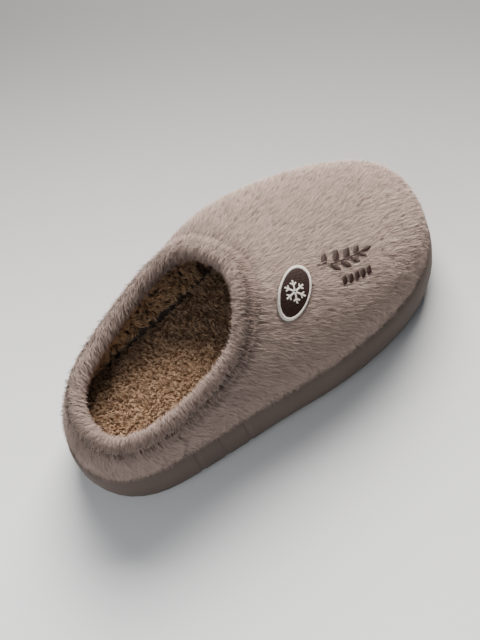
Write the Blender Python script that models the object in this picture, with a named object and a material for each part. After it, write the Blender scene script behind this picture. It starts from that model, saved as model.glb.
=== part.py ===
"""A house slipper: a fur mule for the right foot on a moulded sole.

Metres, +Z up, +Y from heel to toe, +X to the outer side of the foot.
Every piece is lofted from one table of stations, which run once round the shoe:
at each station a curved section climbs from the feather line, where upper and sole
meet, to the seam of the collar.
"""

import math
from collections import namedtuple

import bmesh
import bpy
import numpy as np
from mathutils import Matrix, Vector

# Last and upper
UPPER_LENGTH = 0.255  # feather line, heel to toe
BALL_WIDTH = 0.110  # feather line, across the ball
VAMP_RISE = 0.058  # feather line to the collar seam at the throat
WALL = 0.0075  # pile, backing and lining together
SIDE_SWELL = 0.22  # outward lean of a section as it leaves the feather line
COLLAR_TURN = 0.015  # how firmly a short section meets the collar square to the outline

# Collar roll
ROLL_WIDTH = 0.0085
ROLL_HEIGHT = 0.0075
ROLL_PROUD = 0.0015  # how far it stands out over the upper's outer face

# Sole
SOLE_HEIGHT = 0.029  # floor to feather line
SOLE_OVERHANG = 0.0045  # sole edge outside the feather line
EDGE_ROUND = 0.007  # how far the rounded bottom edge draws in
TOE_SPRING = 0.006
HEEL_RISE = 0.005
ARCH_RISE = 0.0015
GROOVE_WIDTH = 0.0035
GROOVE_DEPTH = 0.0065  # the open grooves across the waist
TREAD_DEPTH = 0.0016  # the closed grooves under heel and ball
CUTTER_DROP = 0.01  # how far below the floor the groove cutters start

# Insole
INSOLE_THICKNESS = 0.008
INSOLE_EDGE = 0.003  # width of its rounded edge
INSOLE_CROWN = 0.0015
INSOLE_CLEARANCE = 0.0006

# Badge
BADGE_LENGTH = 0.031
BADGE_WIDTH = 0.017
BADGE_THICKNESS = 0.0014
BADGE_TURN = -2  # degrees, its long axis dips from the line round the shoe

GAP = 0.0003  # between pieces that touch
SEAM_CLEARANCE = 0.0005  # between the collar roll and the upper's top edge, which twists

COLUMNS = 80
OUTER_ROWS = 12
INNER_ROWS = 9
INSOLE_CUTS = 6
BADGE_SIDES = 24
FINE_ROWS = 41

# One row for each station, from the heel round the outer side to the toe and back.
# side is a share of BALL_WIDTH, along of UPPER_LENGTH, up of VAMP_RISE. pitch is how
# steeply the section reaches the collar, in degrees. low and high are how strongly the
# section keeps its direction at the feather line and at the collar.
Station = namedtuple("Station", "side along collar_side collar_along up pitch low high")
STATIONS = [
    Station(0.005, 0.000, 0.014, 0.025, 0.460, 73, 0.45, 0.35),
    Station(0.253, 0.058, 0.235, 0.052, 0.460, 73.5, 0.45, 0.35),
    Station(0.360, 0.196, 0.350, 0.153, 0.490, 70, 0.45, 0.35),
    Station(0.426, 0.353, 0.368, 0.290, 0.575, 68, 0.45, 0.35),
    Station(0.497, 0.510, 0.334, 0.397, 0.735, 53, 0.50, 0.35),
    Station(0.530, 0.667, 0.240, 0.455, 0.900, 35, 0.55, 0.38),
    Station(0.480, 0.830, 0.155, 0.487, 0.985, 26, 0.60, 0.40),
    Station(0.280, 0.949, 0.066, 0.505, 1.000, 24, 0.62, 0.42),
    Station(-0.067, 0.996, -0.014, 0.512, 1.000, 24, 0.62, 0.42),
    Station(-0.345, 0.914, -0.100, 0.508, 1.010, 24, 0.59, 0.40),
    Station(-0.468, 0.782, -0.215, 0.492, 1.015, 14, 0.57, 0.42),
    Station(-0.470, 0.628, -0.328, 0.452, 0.972, 10, 0.55, 0.44),
    Station(-0.415, 0.479, -0.379, 0.373, 0.808, 35, 0.50, 0.40),
    Station(-0.385, 0.324, -0.371, 0.273, 0.640, 60, 0.45, 0.37),
    Station(-0.385, 0.176, -0.322, 0.162, 0.530, 68, 0.45, 0.36),
    Station(-0.290, 0.050, -0.200, 0.067, 0.485, 72, 0.45, 0.35),
]

# The sole's side from bottom to top: how far each line draws in from the sole's edge, as
# a share of EDGE_ROUND, and its height as a share of the sole's height there.
SoleLine = namedtuple("SoleLine", "drawn_in up")
SOLE_SIDE = [
    SoleLine(1.00, 0.00),
    SoleLine(0.50, 0.05),
    SoleLine(0.18, 0.17),
    SoleLine(0.00, 0.42),
    SoleLine(0.02, 0.72),
    SoleLine(0.16, 0.93),
    SoleLine(0.45, 1.00),
]

# The collar roll's section: across as a share of half ROLL_WIDTH, up of ROLL_HEIGHT.
RollPoint = namedtuple("RollPoint", "across up")
ROLL_SECTION = [
    RollPoint(0.45, 0.00),
    RollPoint(0.72, 0.10),
    RollPoint(0.94, 0.30),
    RollPoint(1.00, 0.54),
    RollPoint(0.88, 0.78),
    RollPoint(0.58, 0.94),
    RollPoint(0.20, 1.00),
    RollPoint(-0.20, 1.00),
    RollPoint(-0.58, 0.94),
    RollPoint(-0.88, 0.78),
    RollPoint(-1.00, 0.54),
    RollPoint(-0.94, 0.30),
    RollPoint(-0.72, 0.10),
    RollPoint(-0.45, 0.00),
]

# Grooves across the sole: place along the shoe, where each runs on the outer and the
# inner side as a share of BALL_WIDTH. Those of the waist run out through both edges.
Groove = namedtuple("Groove", "along outer inner")
WAIST_GROOVES = [
    Groove(0.190, 0.60, -0.60),
    Groove(0.253, 0.60, -0.60),
    Groove(0.316, 0.60, -0.60),
]
TREAD_GROOVES = [
    Groove(0.080, 0.22, -0.20),
    Groove(0.135, 0.27, -0.26),
    Groove(0.550, 0.38, -0.28),
    Groove(0.610, 0.40, -0.32),
    Groove(0.670, 0.41, -0.34),
    Groove(0.730, 0.40, -0.35),
    Groove(0.790, 0.36, -0.34),
    Groove(0.850, 0.30, -0.29),
]

# Where the badge sits: station number along the table, and share of the way up the section
BADGE_PLACE = (5.70, 0.80)

FUR = (0.36, 0.29, 0.25)
FUR_DARK = (0.27, 0.21, 0.18)
FOAM_RUBBER = (0.075, 0.055, 0.046)
PLUSH = (0.28, 0.18, 0.11)
BADGE_THREAD = (0.035, 0.018, 0.012)


def clear_scene():
    for obj in list(bpy.data.objects):
        bpy.data.objects.remove(obj, do_unlink=True)


def material(name, color, roughness):
    made = bpy.data.materials.new(name)
    made.use_nodes = True
    shader = made.node_tree.nodes["Principled BSDF"]
    shader.inputs["Base Color"].default_value = (*color, 1.0)
    shader.inputs["Roughness"].default_value = roughness
    shader.inputs["Metallic"].default_value = 0.0
    return made


def unit(vectors):
    return vectors / np.linalg.norm(vectors, axis=-1, keepdims=True)


def stations_at(numbers):
    """The table's values at these station numbers, on a smooth closed curve through its rows."""
    table = np.array(STATIONS, dtype=float)
    count = len(table)
    ring = np.eye(count)
    system = 4 * ring + np.roll(ring, 1, axis=0) + np.roll(ring, -1, axis=0)
    slope = np.linalg.solve(system, 3 * (np.roll(table, -1, axis=0) - np.roll(table, 1, axis=0)))
    numbers = np.asarray(numbers, dtype=float) % count
    first = np.floor(numbers).astype(int) % count
    after = (first + 1) % count
    t = (numbers - np.floor(numbers))[:, None]
    return (
        table[first] * (1 + 2 * t) * (1 - t) ** 2
        + slope[first] * t * (1 - t) ** 2
        + table[after] * t**2 * (3 - 2 * t)
        + slope[after] * t**2 * (t - 1)
    )


def sole_bottom(along):
    """Height of the sole's underside: heel rise, arch and toe spring, with two flats between."""
    heel = np.clip((0.12 - along) / 0.12, 0.0, 1.2)
    toe = np.clip((along - 0.68) / 0.32, 0.0, 1.05)
    waist = np.clip(1 - ((along - 0.42) / 0.12) ** 2, 0.0, 1.0)
    return HEEL_RISE * heel**2 + ARCH_RISE * waist**2 + TOE_SPRING * toe**2


def sole_top(along):
    """Height of the sole's upper face, which lifts a little at the toe."""
    toe = np.clip((along - 0.62) / 0.38, 0.0, 1.05)
    return SOLE_HEIGHT + 0.8 * TOE_SPRING * toe**2


def section_frame(numbers):
    """Feather point, collar point, outline normal, collar direction and pulls at each station number."""
    row = dict(zip(Station._fields, stations_at(numbers).T))
    flat = np.zeros(len(numbers))
    feather = np.stack([row["side"] * BALL_WIDTH, row["along"] * UPPER_LENGTH, flat], axis=-1)
    feather[:, 2] = sole_top(row["along"]) + GAP
    collar = np.stack(
        [
            row["collar_side"] * BALL_WIDTH,
            row["collar_along"] * UPPER_LENGTH,
            SOLE_HEIGHT + GAP + row["up"] * VAMP_RISE,
        ],
        axis=-1,
    )
    step = 0.01
    ahead, behind = stations_at(numbers + step), stations_at(numbers - step)
    run = (ahead - behind)[:, :2] * (BALL_WIDTH, UPPER_LENGTH)
    normal = unit(np.stack([run[:, 1], -run[:, 0], flat], axis=-1))
    outward = unit((feather - collar) * (1, 1, 0) + normal * COLLAR_TURN)
    pitch = np.radians(row["pitch"])[:, None]
    direction = outward * np.cos(pitch) - np.array([0, 0, 1]) * np.sin(pitch)
    return feather, collar, normal, direction, row["low"], row["high"]


def upper_face(numbers, up):
    """Points of the upper's outer face, at station numbers and shares of the way up the section."""
    feather, collar, normal, direction, low, high = section_frame(numbers)
    rise = (collar - feather)[:, 2:]
    reach = np.linalg.norm(collar - feather, axis=1)[:, None]
    low_handle = feather + (np.array([0, 0, 1]) + normal * SIDE_SWELL) * rise * low[:, None]
    high_handle = collar + direction * reach * high[:, None]
    t = np.asarray(up, dtype=float)[:, None]
    return (
        feather * (1 - t) ** 3
        + low_handle * 3 * t * (1 - t) ** 2
        + high_handle * 3 * t**2 * (1 - t)
        + collar * t**3
    )


def face_normal(numbers, up):
    """Outward normal of the upper's outer face, from two small steps over it."""
    step = 0.004
    up = np.clip(up, 0.0, 1.0)
    low, high = np.clip(up - step, 0, 1), np.clip(up + step, 0, 1)
    round_shoe = upper_face(numbers + step, up) - upper_face(numbers - step, up)
    up_section = upper_face(numbers, high) - upper_face(numbers, low)
    return unit(np.cross(round_shoe, up_section))


def column_numbers():
    return np.arange(COLUMNS) * len(STATIONS) / COLUMNS


def face_ring(up, depth):
    """One closed line round the upper, this far inside its outer face."""
    numbers = column_numbers()
    level = np.full(COLUMNS, float(up))
    ring = upper_face(numbers, level) - face_normal(numbers, level) * depth
    if up == 0.0:
        ring[:, 2] = sole_top(ring[:, 1] / UPPER_LENGTH) + GAP
    return ring


def add_ring(shape, points):
    return [shape.verts.new(Vector(point)) for point in points]


def bridge(shape, lower, upper):
    """Quads between two rings, facing away from the shoe's middle when lower is below upper."""
    count = len(lower)
    for i in range(count):
        j = (i + 1) % count
        shape.faces.new((lower[i], lower[j], upper[j], upper[i]))


def fill_across(shape, ring, cuts, height):
    """Covers a ring with rungs from side to side, each in as many lengths as cuts says."""
    half = len(ring) // 2
    rungs = []
    for i in range(1, half):
        start, end = ring[i].co, ring[-i].co
        inner = [start.lerp(end, k / cuts) for k in range(1, cuts)]
        for k, point in enumerate(inner, start=1):
            point.z = height(point.y / UPPER_LENGTH, k / cuts)
        rungs.append([ring[i], *(shape.verts.new(point) for point in inner), ring[-i]])
    for one, other in zip(rungs, rungs[1:]):
        for k in range(cuts):
            shape.faces.new((one[k], other[k], other[k + 1], one[k + 1]))
    for end_vertex, rung, order in ((ring[0], rungs[0], 1), (ring[half], rungs[-1], -1)):
        for k in range(cuts):
            shape.faces.new((end_vertex, rung[k], rung[k + 1])[::order])


def finish(shape, name, look, sharp_degrees=50):
    """Turns the bmesh into a named, smoothly shaded object with its faces outward."""
    bmesh.ops.recalc_face_normals(shape, faces=shape.faces)
    mesh = bpy.data.meshes.new(name)
    shape.to_mesh(mesh)
    shape.free()
    mesh.shade_smooth()
    mesh.set_sharp_from_angle(angle=math.radians(sharp_degrees))
    mesh.materials.append(look)
    obj = bpy.data.objects.new(name, mesh)
    bpy.context.scene.collection.objects.link(obj)
    return obj


def make_upper():
    """One wall, closed over the toe and round the heel, open at the collar and underneath."""
    shape = bmesh.new()
    outer = [add_ring(shape, face_ring(up, 0.0)) for up in np.linspace(0, 1, OUTER_ROWS)]
    inner = [add_ring(shape, face_ring(up, WALL)) for up in np.linspace(1, 0, INNER_ROWS)]
    loop = outer + inner
    for lower, upper in zip(loop, loop[1:] + loop[:1]):
        bridge(shape, lower, upper)
    return finish(shape, "upper", material("fur", FUR, 0.95))


def make_collar():
    """The fur roll that is sewn to the upper's top edge, all round the opening."""
    numbers = column_numbers()
    normal = face_normal(numbers, np.ones(COLUMNS))
    seam = section_frame(numbers)[1]
    rise = unit(np.cross(np.roll(seam, -1, axis=0) - np.roll(seam, 1, axis=0), normal))
    rise *= np.sign(rise[:, 2:])
    base = seam - normal * (ROLL_WIDTH / 2 - ROLL_PROUD) + rise * SEAM_CLEARANCE
    shape = bmesh.new()
    rings = [
        add_ring(
            shape,
            base + normal * point.across * ROLL_WIDTH / 2 + rise * point.up * ROLL_HEIGHT,
        )
        for point in ROLL_SECTION
    ]
    for lower, upper in zip(rings, rings[1:] + rings[:1]):
        bridge(shape, lower, upper)
    return finish(shape, "collar", material("collar_fur", FUR_DARK, 0.95))


def groove_cutter(grooves, name, width, depth):
    """Round-ended bars under the sole, one for each groove, as one cutter."""
    shape = bmesh.new()
    for groove in grooves:
        y = groove.along * UPPER_LENGTH
        top = float(sole_bottom(np.array(groove.along))) + depth
        ends = [(groove.outer * BALL_WIDTH, 0), (groove.inner * BALL_WIDTH, 180)]
        outline = []
        for x, turn in ends:
            for degrees in range(-90, 91, 45):
                angle = math.radians(degrees + turn)
                outline.append((x + math.cos(angle) * width / 2, y + math.sin(angle) * width / 2))
        bottom = [shape.verts.new((x, y, -CUTTER_DROP)) for x, y in outline]
        floor = shape.faces.new(bottom)
        made = bmesh.ops.extrude_face_region(shape, geom=[floor])["geom"]
        raised = [item for item in made if isinstance(item, bmesh.types.BMVert)]
        bmesh.ops.translate(shape, verts=raised, vec=(0, 0, top + CUTTER_DROP))
    cutter = finish(shape, name, material(name, FOAM_RUBBER, 0.8))
    cutter.hide_render = True
    cutter.display_type = "WIRE"
    return cutter


def make_sole():
    """One moulded unit with a rounded edge, heel rise, arch, toe spring and cross grooves."""
    numbers = column_numbers()
    feather, _, normal, _, _, _ = section_frame(numbers)
    shape = bmesh.new()
    rings = []
    for line in SOLE_SIDE:
        ring = feather + normal * (SOLE_OVERHANG - line.drawn_in * EDGE_ROUND)
        along = ring[:, 1] / UPPER_LENGTH
        bottom, top = sole_bottom(along), sole_top(along)
        ring[:, 2] = bottom + (top - bottom) * line.up
        rings.append(add_ring(shape, ring))
    for lower, upper in zip(rings, rings[1:]):
        bridge(shape, lower, upper)
    fill_across(shape, rings[0], 1, None)
    fill_across(shape, rings[-1], 1, None)
    sole = finish(shape, "sole", material("foam_rubber", FOAM_RUBBER, 0.8), 35)
    for grooves, name, depth in (
        (WAIST_GROOVES, "waist_cutter", GROOVE_DEPTH),
        (TREAD_GROOVES, "tread_cutter", TREAD_DEPTH),
    ):
        cut = sole.modifiers.new(name, "BOOLEAN")
        cut.operation = "DIFFERENCE"
        cut.object = groove_cutter(grooves, name, GROOVE_WIDTH, depth)
    return sole


def inside_line(height, clearance):
    """The line where the upper's inner face stands this high above the sole, moved in by the clearance."""
    numbers = column_numbers()
    levels = np.linspace(0, 1, FINE_ROWS)
    rings = np.array([face_ring(up, WALL) for up in levels])
    line = np.empty((COLUMNS, 3))
    for column in range(COLUMNS):
        climb = rings[:, column]
        above = climb[:, 2] - sole_top(climb[:, 1] / UPPER_LENGTH)
        for axis in range(3):
            line[column, axis] = np.interp(height, above, climb[:, axis])
    normal = section_frame(numbers)[2]
    line = line - normal * clearance
    line[:, 2] = sole_top(line[:, 1] / UPPER_LENGTH) + height
    return line


def make_insole():
    """A plush footbed that fills the upper's floor, with a rounded edge and a slight crown."""
    shape = bmesh.new()
    rings = []
    for share, drawn_in in ((0.0, 0.0), (0.5, 0.0), (0.85, 0.25), (1.0, 1.0)):
        height = GAP + share * (INSOLE_THICKNESS - GAP)
        line = inside_line(height, INSOLE_CLEARANCE + drawn_in * INSOLE_EDGE)
        rings.append(add_ring(shape, line))
    for lower, upper in zip(rings, rings[1:]):
        bridge(shape, lower, upper)
    fill_across(shape, rings[0], 1, None)

    def crowned(along, across):
        crown = INSOLE_CROWN * (1 - (2 * across - 1) ** 2)
        return float(sole_top(np.array(along))) + INSOLE_THICKNESS + crown

    fill_across(shape, rings[-1], INSOLE_CUTS, crowned)
    return finish(shape, "insole", material("plush", PLUSH, 0.95), 70)


def badge_points(share, lift, around):
    """An oval line round the badge, laid over the upper's outer face: share of its size, and lift."""
    station, up = np.array(BADGE_PLACE)[:, None]
    step = 0.01
    per_station = (upper_face(station + step, up) - upper_face(station - step, up))[0] / (2 * step)
    per_up = (upper_face(station, up + step) - upper_face(station, up - step))[0] / (2 * step)
    side = unit(per_station)
    climb = unit(per_up - side * per_up.dot(side))
    turn, angles = math.radians(BADGE_TURN), np.arange(around) * math.tau / around
    long_axis = side * math.cos(turn) - climb * math.sin(turn)
    short_axis = side * math.sin(turn) + climb * math.cos(turn)
    spread = np.outer(np.cos(angles) * share * BADGE_LENGTH / 2, long_axis)
    spread += np.outer(np.sin(angles) * share * BADGE_WIDTH / 2, short_axis)
    axes = np.stack([per_station, per_up], axis=-1)
    middle, moves = upper_face(station, up), np.zeros((2, around))
    for _ in range(4):
        reached = upper_face(station + moves[0], up + moves[1]) - middle
        moves += np.linalg.lstsq(axes, (spread - reached).T, rcond=None)[0]
    numbers, ups = station + moves[0], up + moves[1]
    return upper_face(numbers, ups) + face_normal(numbers, ups) * lift


def make_badge():
    """A thin sewn oval that lies on the outer side of the vamp and bends with it."""
    shape = bmesh.new()
    low, high = GAP, GAP + BADGE_THICKNESS
    lines = [(0.34, low), (0.67, low), (0.97, low), (1.0, low + 0.3 * BADGE_THICKNESS)]
    lines += [(1.0, low + 0.7 * BADGE_THICKNESS), (0.96, high), (0.67, high), (0.34, high)]
    rings = [add_ring(shape, badge_points(share, lift, BADGE_SIDES)) for share, lift in lines]
    for one, other in zip(rings, rings[1:]):
        bridge(shape, one, other)
    for ring, lift in ((rings[0], low), (rings[-1], high)):
        centre = shape.verts.new(Vector(badge_points(0.0, lift, 1)[0]))
        for one, other in zip(ring, ring[1:] + ring[:1]):
            shape.faces.new((one, other, centre))
    return finish(shape, "badge", material("badge_thread", BADGE_THREAD, 0.7))


def stand_on_origin(pieces):
    """Moves the meshes so that the origin is under the middle of the shoe, on the floor."""
    bpy.context.view_layer.update()
    corners = [Vector(corner) for piece in pieces for corner in piece.bound_box]
    middle = [(min(c[k] for c in corners) + max(c[k] for c in corners)) / 2 for k in (0, 1)]
    for obj in bpy.data.objects:
        obj.data.transform(Matrix.Translation((-middle[0], -middle[1], 0)))


clear_scene()
PIECES = [make_sole(), make_upper(), make_collar(), make_insole(), make_badge()]
stand_on_origin(PIECES)
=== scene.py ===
"""The house slipper dressed for its picture: pile, lining, footbed, sole finish and sewn work.

Metres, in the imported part's frame: +Y to the toe, +X to the outer side, +Z up.
Every hair is laid on the same curved face that the solids are lofted from.
"""

import math
from collections import namedtuple

import bpy
import numpy as np
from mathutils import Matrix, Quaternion, Vector
from mathutils.bvhtree import BVHTree


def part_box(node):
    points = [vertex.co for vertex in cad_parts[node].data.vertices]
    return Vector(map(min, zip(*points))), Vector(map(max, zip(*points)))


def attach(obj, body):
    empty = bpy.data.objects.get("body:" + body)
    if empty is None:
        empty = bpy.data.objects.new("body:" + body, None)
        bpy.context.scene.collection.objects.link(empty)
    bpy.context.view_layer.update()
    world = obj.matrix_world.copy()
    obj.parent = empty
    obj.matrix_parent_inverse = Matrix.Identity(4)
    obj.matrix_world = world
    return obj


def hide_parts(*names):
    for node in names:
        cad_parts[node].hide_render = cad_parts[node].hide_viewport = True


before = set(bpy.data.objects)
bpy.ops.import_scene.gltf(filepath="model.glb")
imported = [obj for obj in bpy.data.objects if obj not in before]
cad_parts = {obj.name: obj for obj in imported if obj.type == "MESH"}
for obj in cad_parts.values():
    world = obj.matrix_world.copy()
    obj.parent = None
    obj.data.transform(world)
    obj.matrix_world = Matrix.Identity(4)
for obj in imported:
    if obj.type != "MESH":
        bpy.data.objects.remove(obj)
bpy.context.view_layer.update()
SPARSER = 1.0

# Last and upper, as in the part
UPPER_LENGTH = 0.255
BALL_WIDTH = 0.110
VAMP_RISE = 0.058
WALL = 0.0075
SIDE_SWELL = 0.22
COLLAR_TURN = 0.015
ROLL_WIDTH = 0.0085
ROLL_HEIGHT = 0.0075
ROLL_PROUD = 0.0015
SOLE_HEIGHT = 0.029
TOE_SPRING = 0.006
GAP = 0.0003
SEAM_CLEARANCE = 0.0005
COLUMNS = 80
WAIST_GROOVES = (0.190, 0.253, 0.316)
BADGE_LENGTH = 0.031
BADGE_WIDTH = 0.017
BADGE_THICKNESS = 0.0014
BADGE_TURN = -2
BADGE_PLACE = (5.70, 0.80)
SPRIG_PLACE = (6.40, 0.615)
SPRIG_TURN = 58

# Pile
PILE_DEPTH = 0.0036  # from the upper's mean outer face in to the hairs' roots
PILE_LENGTH = 0.0090
HAIR_WIDTH = 0.00031
LOCK_SPACING = 0.0012
STRANDS = 8
OVERHANG = 0.0022  # of the hairs below the feather line, at most
ROLL_PILE = 0.0016
ROLL_HAIR = 0.0066
ROLL_SPACING = 0.0009
SEAM_LOCKS = 1100
LINING_PILE = 0.0030
LINING_SPACING = 0.0024
LINING_START = 0.0028  # below the insole's top
FOOTBED_PILE = 0.0026
FOOTBED_SPACING = 0.00145
FOOTBED_END = 0.052  # along the shoe, past what the opening shows
THREAD = 0.00036
TONES = 24  # bands across the bake map, one for each shade of hair

Station = namedtuple("Station", "side along collar_side collar_along up pitch low high")
STATIONS = np.array(
    [
        Station(0.005, 0.000, 0.014, 0.025, 0.460, 73, 0.45, 0.35),
        Station(0.253, 0.058, 0.235, 0.052, 0.460, 73.5, 0.45, 0.35),
        Station(0.360, 0.196, 0.350, 0.153, 0.490, 70, 0.45, 0.35),
        Station(0.426, 0.353, 0.368, 0.290, 0.575, 68, 0.45, 0.35),
        Station(0.497, 0.510, 0.334, 0.397, 0.735, 53, 0.50, 0.35),
        Station(0.530, 0.667, 0.240, 0.455, 0.900, 35, 0.55, 0.38),
        Station(0.480, 0.830, 0.155, 0.487, 0.985, 26, 0.60, 0.40),
        Station(0.280, 0.949, 0.066, 0.505, 1.000, 24, 0.62, 0.42),
        Station(-0.067, 0.996, -0.014, 0.512, 1.000, 24, 0.62, 0.42),
        Station(-0.345, 0.914, -0.100, 0.508, 1.010, 24, 0.59, 0.40),
        Station(-0.468, 0.782, -0.215, 0.492, 1.015, 14, 0.57, 0.42),
        Station(-0.470, 0.628, -0.328, 0.452, 0.972, 10, 0.55, 0.44),
        Station(-0.415, 0.479, -0.379, 0.373, 0.808, 35, 0.50, 0.40),
        Station(-0.385, 0.324, -0.371, 0.273, 0.640, 60, 0.45, 0.37),
        Station(-0.385, 0.176, -0.322, 0.162, 0.530, 68, 0.45, 0.36),
        Station(-0.290, 0.050, -0.200, 0.067, 0.485, 72, 0.45, 0.35),
    ]
)
ROUND = len(STATIONS)  # station numbers start again after one round of the shoe
FEATHER_LENGTH = 0.62  # once round the upper's lower edge, about
COLLAR_LENGTH = 0.47  # once round the opening, about
# Seams up the wall, as station number at the sole and drift on the way up
SIDE_SEAMS = [(1.76, 0.38), (15.68, 0.24), (-0.32, 0.24)]
# The nap's turn and the hair's tone on the roll, by station number; the tone is painted shade, dark all
# round the roll and lightest at the heel
ROLL_NAP = [(0, 0.3), (5, 0.2), (7, -0.4), (9, -0.2), (10.5, 0.6), (12, 1.0), (14, 0.9), (16, 0.3)]
ROLL_PAINTED_SHADE_TONE = [(0, 0.24), (2, 0.10), (6, 0.10), (8, 0.08), (12, 0.08), (14, 0.20), (16, 0.24)]
UP = np.array([0.0, 0.0, 1.0])
TOEWARD = np.array([0.0, 1.0, 0.0])
OUTWARD = np.array([1.0, 0.0, 0.0])


def unit(vectors):
    return vectors / np.maximum(np.linalg.norm(vectors, axis=-1, keepdims=True), 1e-12)


def dot(one, other):
    return (one * other).sum(axis=-1, keepdims=True)


def smooth_step(low, high, values):
    t = np.clip((values - low) / (high - low), 0.0, 1.0)
    return t * t * (3 - 2 * t)


def between_rows(numbers, rows):
    """The value at each station number, straight between rows of station number and value."""
    stations, values = zip(*rows)
    return np.interp(numbers % ROUND, stations, values)


# The curved face


def station_slopes():
    ring = np.eye(ROUND)
    system = 4 * ring + np.roll(ring, 1, axis=0) + np.roll(ring, -1, axis=0)
    ahead, behind = np.roll(STATIONS, -1, axis=0), np.roll(STATIONS, 1, axis=0)
    return np.linalg.solve(system, 3 * (ahead - behind))


SLOPES = station_slopes()


def stations_at(numbers):
    """The table's values at these station numbers, on a smooth closed curve through its rows."""
    numbers = numbers % ROUND
    first = np.floor(numbers).astype(int) % ROUND
    after = (first + 1) % ROUND
    t = (numbers - np.floor(numbers))[:, None]
    return (
        STATIONS[first] * (1 + 2 * t) * (1 - t) ** 2
        + SLOPES[first] * t * (1 - t) ** 2
        + STATIONS[after] * t**2 * (3 - 2 * t)
        + SLOPES[after] * t**2 * (t - 1)
    )


def sole_top(along):
    toe = np.clip((along - 0.62) / 0.38, 0.0, 1.05)
    return SOLE_HEIGHT + 0.8 * TOE_SPRING * toe**2


def section_frame(numbers):
    """Feather point, collar point, outline normal, collar direction and pulls at each station number."""
    row = dict(zip(Station._fields, stations_at(numbers).T))
    flat = np.zeros(len(numbers))
    feather = np.stack([row["side"] * BALL_WIDTH, row["along"] * UPPER_LENGTH, flat], axis=-1)
    feather[:, 2] = sole_top(row["along"]) + GAP
    collar_height = SOLE_HEIGHT + GAP + row["up"] * VAMP_RISE
    collar = np.stack(
        [row["collar_side"] * BALL_WIDTH, row["collar_along"] * UPPER_LENGTH, collar_height],
        axis=-1,
    )
    step = 0.01
    run = (stations_at(numbers + step) - stations_at(numbers - step))[:, :2]
    run = run * (BALL_WIDTH, UPPER_LENGTH)
    normal = unit(np.stack([run[:, 1], -run[:, 0], flat], axis=-1))
    outward = unit((feather - collar) * (1, 1, 0) + normal * COLLAR_TURN)
    pitch = np.radians(row["pitch"])[:, None]
    direction = outward * np.cos(pitch) - UP * np.sin(pitch)
    return feather, collar, normal, direction, row["low"][:, None], row["high"][:, None]


def table_face(numbers, up):
    """Points of the upper's outer face, before the part is moved over its origin."""
    feather, collar, normal, direction, low, high = section_frame(numbers)
    rise = (collar - feather)[:, 2:]
    reach = np.linalg.norm(collar - feather, axis=1)[:, None]
    low_handle = feather + (UP + normal * SIDE_SWELL) * rise * low
    high_handle = collar + direction * reach * high
    t = up[:, None]
    return (
        feather * (1 - t) ** 3
        + low_handle * 3 * t * (1 - t) ** 2
        + high_handle * 3 * t**2 * (1 - t)
        + collar * t**3
    )


def origin_shift():
    """How far the part moved its pieces to stand on its origin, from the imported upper's corner."""
    columns = np.arange(COLUMNS) * ROUND / COLUMNS
    levels = np.linspace(0, 1, 12)
    points = table_face(np.tile(columns, len(levels)), np.repeat(levels, COLUMNS))
    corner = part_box("upper")[0]
    return np.array([corner.x, corner.y, 0.0]) - points.min(axis=0) * (1, 1, 0)


SHIFT = origin_shift()


def outer_face(numbers, up):
    return table_face(numbers, up) + SHIFT


FaceFrame = namedtuple("FaceFrame", "point round_shoe up_section normal")


def face_frame(numbers, up):
    """Point, both tangents and outward normal of the upper's outer face, for any shape of input."""
    numbers, up = np.broadcast_arrays(np.asarray(numbers, float), np.asarray(up, float))
    shape = numbers.shape + (3,)
    numbers, up = numbers.ravel(), up.ravel()
    step = 0.004
    level = np.clip(up, 0, 1)
    low, high = np.clip(level - step, 0, 1), np.clip(level + step, 0, 1)
    round_shoe = (outer_face(numbers + step, level) - outer_face(numbers - step, level)) / (2 * step)
    up_section = (outer_face(numbers, high) - outer_face(numbers, low)) / (high - low)[:, None]
    normal = unit(np.cross(round_shoe, up_section))
    point = outer_face(numbers, level)
    return FaceFrame(*(part.reshape(shape) for part in (point, round_shoe, up_section, normal)))


def ripple(points, wave, seed):
    """A smooth random field of about -1 to 1 over space, in waves about this long."""
    rng = np.random.default_rng(seed)
    waves = 14
    ways = unit(rng.normal(size=(waves, 3))) * (math.tau / wave) * rng.uniform(0.6, 1.5, (waves, 1))
    phases = rng.uniform(0, math.tau, waves)
    return np.sin(points @ ways.T + phases).sum(axis=-1) / waves**0.5 * 0.9


# Materials


def paint(red, green, blue):
    """A colour in eight-bit screen values, as the shader wants it."""
    shares = [value / 255 for value in (red, green, blue)]
    linear = [s / 12.92 if s <= 0.04045 else ((s + 0.055) / 1.055) ** 2.4 for s in shares]
    return (*linear, 1.0)


class Tone:
    """A number or colour that runs through a finish; arithmetic on it adds Math nodes."""

    def __init__(self, finish, socket):
        self.finish, self.socket = finish, socket

    def maths(self, operation, *values):
        return self.finish.add("Math", {"operation": operation}, dict(enumerate(values)))

    def __add__(self, other):
        return self.maths("ADD", self, other)

    def __sub__(self, other):
        return self.maths("SUBTRACT", self, other)

    def __rsub__(self, other):
        return self.maths("SUBTRACT", other, self)

    def __mul__(self, other):
        return self.maths("MULTIPLY", self, other)

    __radd__, __rmul__ = __add__, __mul__

    def size(self):
        return self.maths("ABSOLUTE", self)

    def wave(self):
        return self.maths("SINE", self)

    def fade(self, low, high):
        """0 at low, 1 at high and smooth between."""
        limits = {"Value": self, "From Min": low, "From Max": high}
        return self.finish.add("MapRange", {"interpolation_type": "SMOOTHSTEP"}, limits)


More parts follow.
